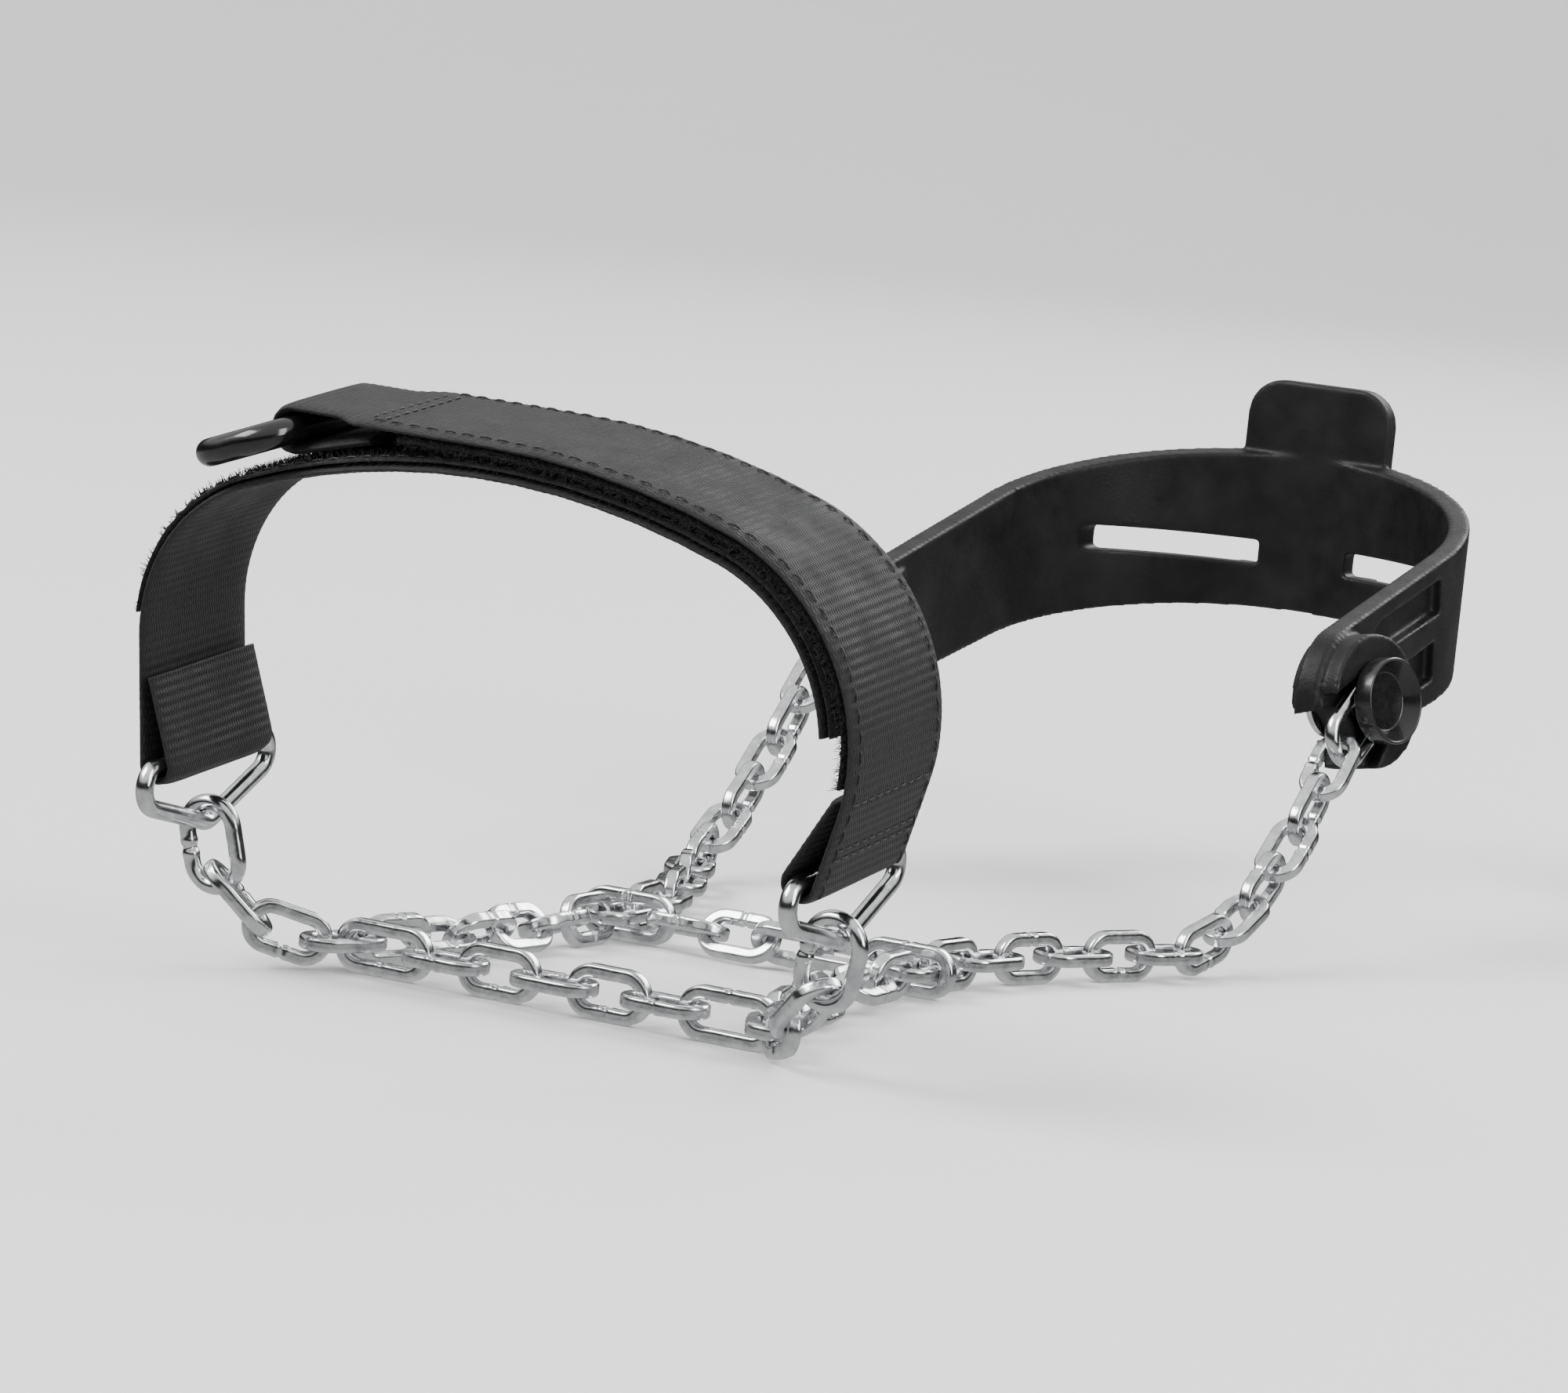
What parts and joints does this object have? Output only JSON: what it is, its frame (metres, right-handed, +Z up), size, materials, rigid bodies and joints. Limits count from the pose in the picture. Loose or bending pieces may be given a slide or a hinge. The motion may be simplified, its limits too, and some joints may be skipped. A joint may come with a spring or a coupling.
{
  "type": "shoe ice cleat",
  "caption": "Chain shoe ice cleat: chain ladder under the sole, hook-and-loop toe strap and rubber heel sling, shaped as worn on a left shoe.",
  "frame": {"origin": "on the ground, at the middle of the cleat's length and width", "axes": "+Z up, +Y towards the heel (toe at -Y), +X towards the outer side of the left shoe"},
  "size_m": [0.1113, 0.2801, 0.0828],
  "materials": {
    "chain": "bright zinc plate",
    "bright_wire": "bright nickel plate",
    "webbing": "ribbed woven webbing",
    "fastener": "hook and loop tape",
    "sling_rubber": "matt moulded rubber",
    "ring_plastic": "gloss",
    "rivet_black": "gloss black",
    "rivet_steel": "bright"
  },
  "bodies": {
    "ladder": {"front_cross_link_1": "chain", "front_cross_link_7": "chain", "rear_cross_link_1": "chain", "rear_cross_link_6": "chain", "front_junction_link_lateral": "chain", "rear_junction_link_lateral": "chain", "front_links_lateral": "chain", "rear_links_lateral": "chain", "connector_lateral": "bright_wire", "front_junction_link_medial": "chain", "rear_junction_link_medial": "chain", "front_links_medial": "chain", "rear_links_medial": "chain", "connector_medial": "bright_wire"},
    "front_cross_link_2": {"front_cross_link_2": "chain"},
    "front_cross_link_3": {"front_cross_link_3": "chain"},
    "front_cross_link_4": {"front_cross_link_4": "chain"},
    "front_cross_link_5": {"front_cross_link_5": "chain"},
    "front_cross_link_6": {"front_cross_link_6": "chain"},
    "rear_cross_link_2": {"rear_cross_link_2": "chain"},
    "rear_cross_link_3": {"rear_cross_link_3": "chain"},
    "rear_cross_link_4": {"rear_cross_link_4": "chain"},
    "rear_cross_link_5": {"rear_cross_link_5": "chain"},
    "side_link_lateral_1": {"side_link_lateral_1": "chain"},
    "side_link_lateral_2": {"side_link_lateral_2": "chain"},
    "side_link_lateral_3": {"side_link_lateral_3": "chain"},
    "side_link_lateral_4": {"side_link_lateral_4": "chain"},
    "side_link_lateral_5": {"side_link_lateral_5": "chain"},
    "side_link_lateral_6": {"side_link_lateral_6": "chain"},
    "side_link_medial_1": {"side_link_medial_1": "chain"},
    "side_link_medial_2": {"side_link_medial_2": "chain"},
    "side_link_medial_3": {"side_link_medial_3": "chain"},
    "side_link_medial_4": {"side_link_medial_4": "chain"},
    "side_link_medial_5": {"side_link_medial_5": "chain"},
    "side_link_medial_6": {"side_link_medial_6": "chain"},
    "toe_ring_lateral": {"triangle_ring_lateral": "bright_wire"},
    "toe_ring_medial": {"triangle_ring_medial": "bright_wire"},
    "outer_strap": {"outer_strap": "webbing", "strap_pile_lining": "fastener"},
    "inner_strap": {"inner_strap": "webbing", "strap_hook_tape": "fastener"},
    "finger_ring": {"finger_ring": "ring_plastic"},
    "riser_lateral": {"riser_links_lateral": "chain", "heel_link_lateral": "bright_wire"},
    "riser_medial": {"riser_links_medial": "chain", "heel_link_medial": "bright_wire"},
    "heel_sling": {"heel_sling": "sling_rubber", "rivet_head_lateral": "rivet_black", "rivet_post_lateral": "rivet_steel", "rivet_washer_lateral": "rivet_steel", "rivet_head_medial": "rivet_black", "rivet_post_medial": "rivet_steel", "rivet_washer_medial": "rivet_steel"}
  },
  "joints": [
    {"name": "front_cross_link_2_roll", "type": "hinge", "parent": "ladder", "child": "front_cross_link_2", "pos_m": [-0.0174, -0.1015, 0.0038], "axis": [1, 0, 0], "range_deg": [-5, 5]},
    {"name": "front_cross_link_3_roll", "type": "hinge", "parent": "ladder", "child": "front_cross_link_3", "pos_m": [-0.0087, -0.1015, 0.0038], "axis": [1, 0, 0], "range_deg": [-5, 5]},
    {"name": "front_cross_link_4_roll", "type": "hinge", "parent": "ladder", "child": "front_cross_link_4", "pos_m": [0, -0.1015, 0.0038], "axis": [1, 0, 0], "range_deg": [-5, 5]},
    {"name": "front_cross_link_5_roll", "type": "hinge", "parent": "ladder", "child": "front_cross_link_5", "pos_m": [0.0087, -0.1015, 0.0038], "axis": [1, 0, 0], "range_deg": [-5, 5]},
    {"name": "front_cross_link_6_roll", "type": "hinge", "parent": "ladder", "child": "front_cross_link_6", "pos_m": [0.0174, -0.1015, 0.0038], "axis": [1, 0, 0], "range_deg": [-5, 5]},
    {"name": "rear_cross_link_2_roll", "type": "hinge", "parent": "ladder", "child": "rear_cross_link_2", "pos_m": [-0.01305, -0.04175, 0.0038], "axis": [1, 0, 0], "range_deg": [-4, 4]},
    {"name": "rear_cross_link_3_roll", "type": "hinge", "parent": "ladder", "child": "rear_cross_link_3", "pos_m": [-0.00435, -0.04175, 0.0038], "axis": [1, 0, 0], "range_deg": [-4, 4]},
    {"name": "rear_cross_link_4_roll", "type": "hinge", "parent": "ladder", "child": "rear_cross_link_4", "pos_m": [0.00435, -0.04175, 0.0038], "axis": [1, 0, 0], "range_deg": [-4, 4]},
    {"name": "rear_cross_link_5_roll", "type": "hinge", "parent": "ladder", "child": "rear_cross_link_5", "pos_m": [0.01305, -0.04175, 0.0038], "axis": [1, 0, 0], "range_deg": [-4, 4]},
    {"name": "side_link_lateral_1_roll", "type": "hinge", "parent": "ladder", "child": "side_link_lateral_1", "pos_m": [0.03113, -0.09339, 0.0038], "axis": [-0.261, 0.9653, 0], "range_deg": [-3, 3]},
    {"name": "side_link_lateral_2_roll", "type": "hinge", "parent": "ladder", "child": "side_link_lateral_2", "pos_m": [0.02907, -0.08494, 0.0038], "axis": [-0.2144, 0.9767, 0], "range_deg": [-5, 5]},
    {"name": "side_link_lateral_3_roll", "type": "hinge", "parent": "ladder", "child": "side_link_lateral_3", "pos_m": [0.0274, -0.07641, 0.0038], "axis": [-0.1673, 0.9859, 0], "range_deg": [-5, 5]},
    {"name": "side_link_lateral_4_roll", "type": "hinge", "parent": "ladder", "child": "side_link_lateral_4", "pos_m": [0.02616, -0.0678, 0.0038], "axis": [-0.1198, 0.9928, 0], "range_deg": [-5, 5]},
    {"name": "side_link_lateral_5_roll", "type": "hinge", "parent": "ladder", "child": "side_link_lateral_5", "pos_m": [0.02532, -0.05914, 0.0038], "axis": [-0.072, 0.9974, 0], "range_deg": [-5, 5]},
    {"name": "side_link_lateral_6_roll", "type": "hinge", "parent": "ladder", "child": "side_link_lateral_6", "pos_m": [0.0249, -0.05045, 0.0038], "axis": [-0.024, 0.9997, 0], "range_deg": [-5, 5]},
    {"name": "side_link_medial_1_roll", "type": "hinge", "parent": "ladder", "child": "side_link_medial_1", "pos_m": [-0.03113, -0.09339, 0.0038], "axis": [0.261, 0.9653, 0], "range_deg": [-3, 3]},
    {"name": "side_link_medial_2_roll", "type": "hinge", "parent": "ladder", "child": "side_link_medial_2", "pos_m": [-0.02907, -0.08494, 0.0038], "axis": [0.2144, 0.9767, 0], "range_deg": [-5, 5]},
    {"name": "side_link_medial_3_roll", "type": "hinge", "parent": "ladder", "child": "side_link_medial_3", "pos_m": [-0.0274, -0.07641, 0.0038], "axis": [0.1673, 0.9859, 0], "range_deg": [-5, 5]},
    {"name": "side_link_medial_4_roll", "type": "hinge", "parent": "ladder", "child": "side_link_medial_4", "pos_m": [-0.02616, -0.0678, 0.0038], "axis": [0.1198, 0.9928, 0], "range_deg": [-5, 5]},
    {"name": "side_link_medial_5_roll", "type": "hinge", "parent": "ladder", "child": "side_link_medial_5", "pos_m": [-0.02532, -0.05914, 0.0038], "axis": [0.072, 0.9974, 0], "range_deg": [-5, 5]},
    {"name": "side_link_medial_6_roll", "type": "hinge", "parent": "ladder", "child": "side_link_medial_6", "pos_m": [-0.0249, -0.05045, 0.0038], "axis": [0.024, 0.9997, 0], "range_deg": [-5, 5]},
    {"name": "toe_ring_lateral_swing", "type": "hinge", "parent": "ladder", "child": "toe_ring_lateral", "pos_m": [0.04968, -0.11515, 0.02206], "axis": [1, 0, 0], "range_deg": [-25, 25]},
    {"name": "toe_ring_medial_swing", "type": "hinge", "parent": "ladder", "child": "toe_ring_medial", "pos_m": [-0.04968, -0.11515, 0.02206], "axis": [1, 0, 0], "range_deg": [-25, 25]},
    {"name": "outer_strap_open", "type": "hinge", "parent": "toe_ring_lateral", "child": "outer_strap", "pos_m": [0.04968, -0.11621, 0.02959], "axis": [0, 0.9903, 0.1392], "range_deg": [0, 100]},
    {"name": "inner_strap_open", "type": "hinge", "parent": "toe_ring_medial", "child": "inner_strap", "pos_m": [-0.04968, -0.11621, 0.02959], "axis": [0, 0.9903, 0.1392], "range_deg": [-30, 0]},
    {"name": "finger_ring_swing", "type": "hinge", "parent": "outer_strap", "child": "finger_ring", "pos_m": [-0.0301, -0.12296, 0.0776], "axis": [0, 0.9903, 0.1392], "range_deg": [-8, 70]},
    {"name": "riser_lateral_swing", "type": "hinge", "parent": "ladder", "child": "riser_lateral", "pos_m": [0.04241, 0.01139, 0.0038], "axis": [1, 0, 0], "range_deg": [-12, 7]},
    {"name": "riser_medial_swing", "type": "hinge", "parent": "ladder", "child": "riser_medial", "pos_m": [-0.04241, 0.01139, 0.0038], "axis": [1, 0, 0], "range_deg": [-12, 7]},
    {"name": "heel_sling_tilt", "type": "hinge", "parent": "riser_lateral", "child": "heel_sling", "pos_m": [0.04649, 0.06186, 0.03943], "axis": [1, 0, 0], "range_deg": [-6, 6]}
  ],
  "couplings": [
    {"joint": "toe_ring_medial_swing", "follows": "toe_ring_lateral_swing", "ratio": 1},
    {"joint": "inner_strap_open", "follows": "outer_strap_open", "ratio": -0.3},
    {"joint": "riser_medial_swing", "follows": "riser_lateral_swing", "ratio": 1}
  ]
}
